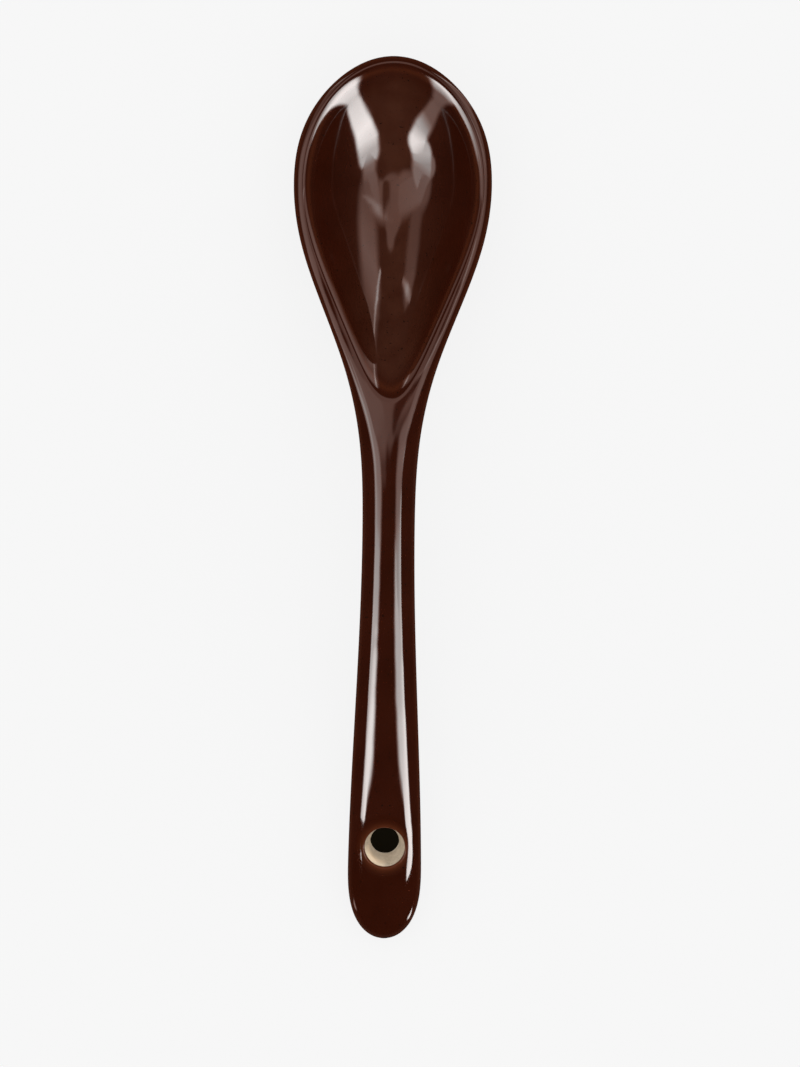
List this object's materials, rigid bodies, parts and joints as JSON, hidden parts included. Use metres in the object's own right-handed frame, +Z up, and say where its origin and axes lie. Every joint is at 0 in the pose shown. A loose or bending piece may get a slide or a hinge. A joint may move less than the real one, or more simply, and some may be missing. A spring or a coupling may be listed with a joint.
{
  "type": "glazed stoneware spoon",
  "caption": "Small glazed ceramic spoon with a teardrop bowl, a gently arched round-edged handle and a tapered hanging hole near its end.",
  "frame": {"origin": "centre of the small flat on which the bowl rests", "axes": "+Y along the spoon toward the bowl tip, +Z up out of the bowl, +X to the right seen from above with the tip pointing away"},
  "size_m": [0.0394, 0.176, 0.019],
  "materials": {
    "fired_clay": "matt, bare only inside the hanging hole",
    "brown_glaze": "high gloss, dark chocolate brown"
  },
  "bodies": {
    "root": {"ceramic_body": "fired_clay", "glaze_coat": "brown_glaze"}
  },
  "joints": []
}
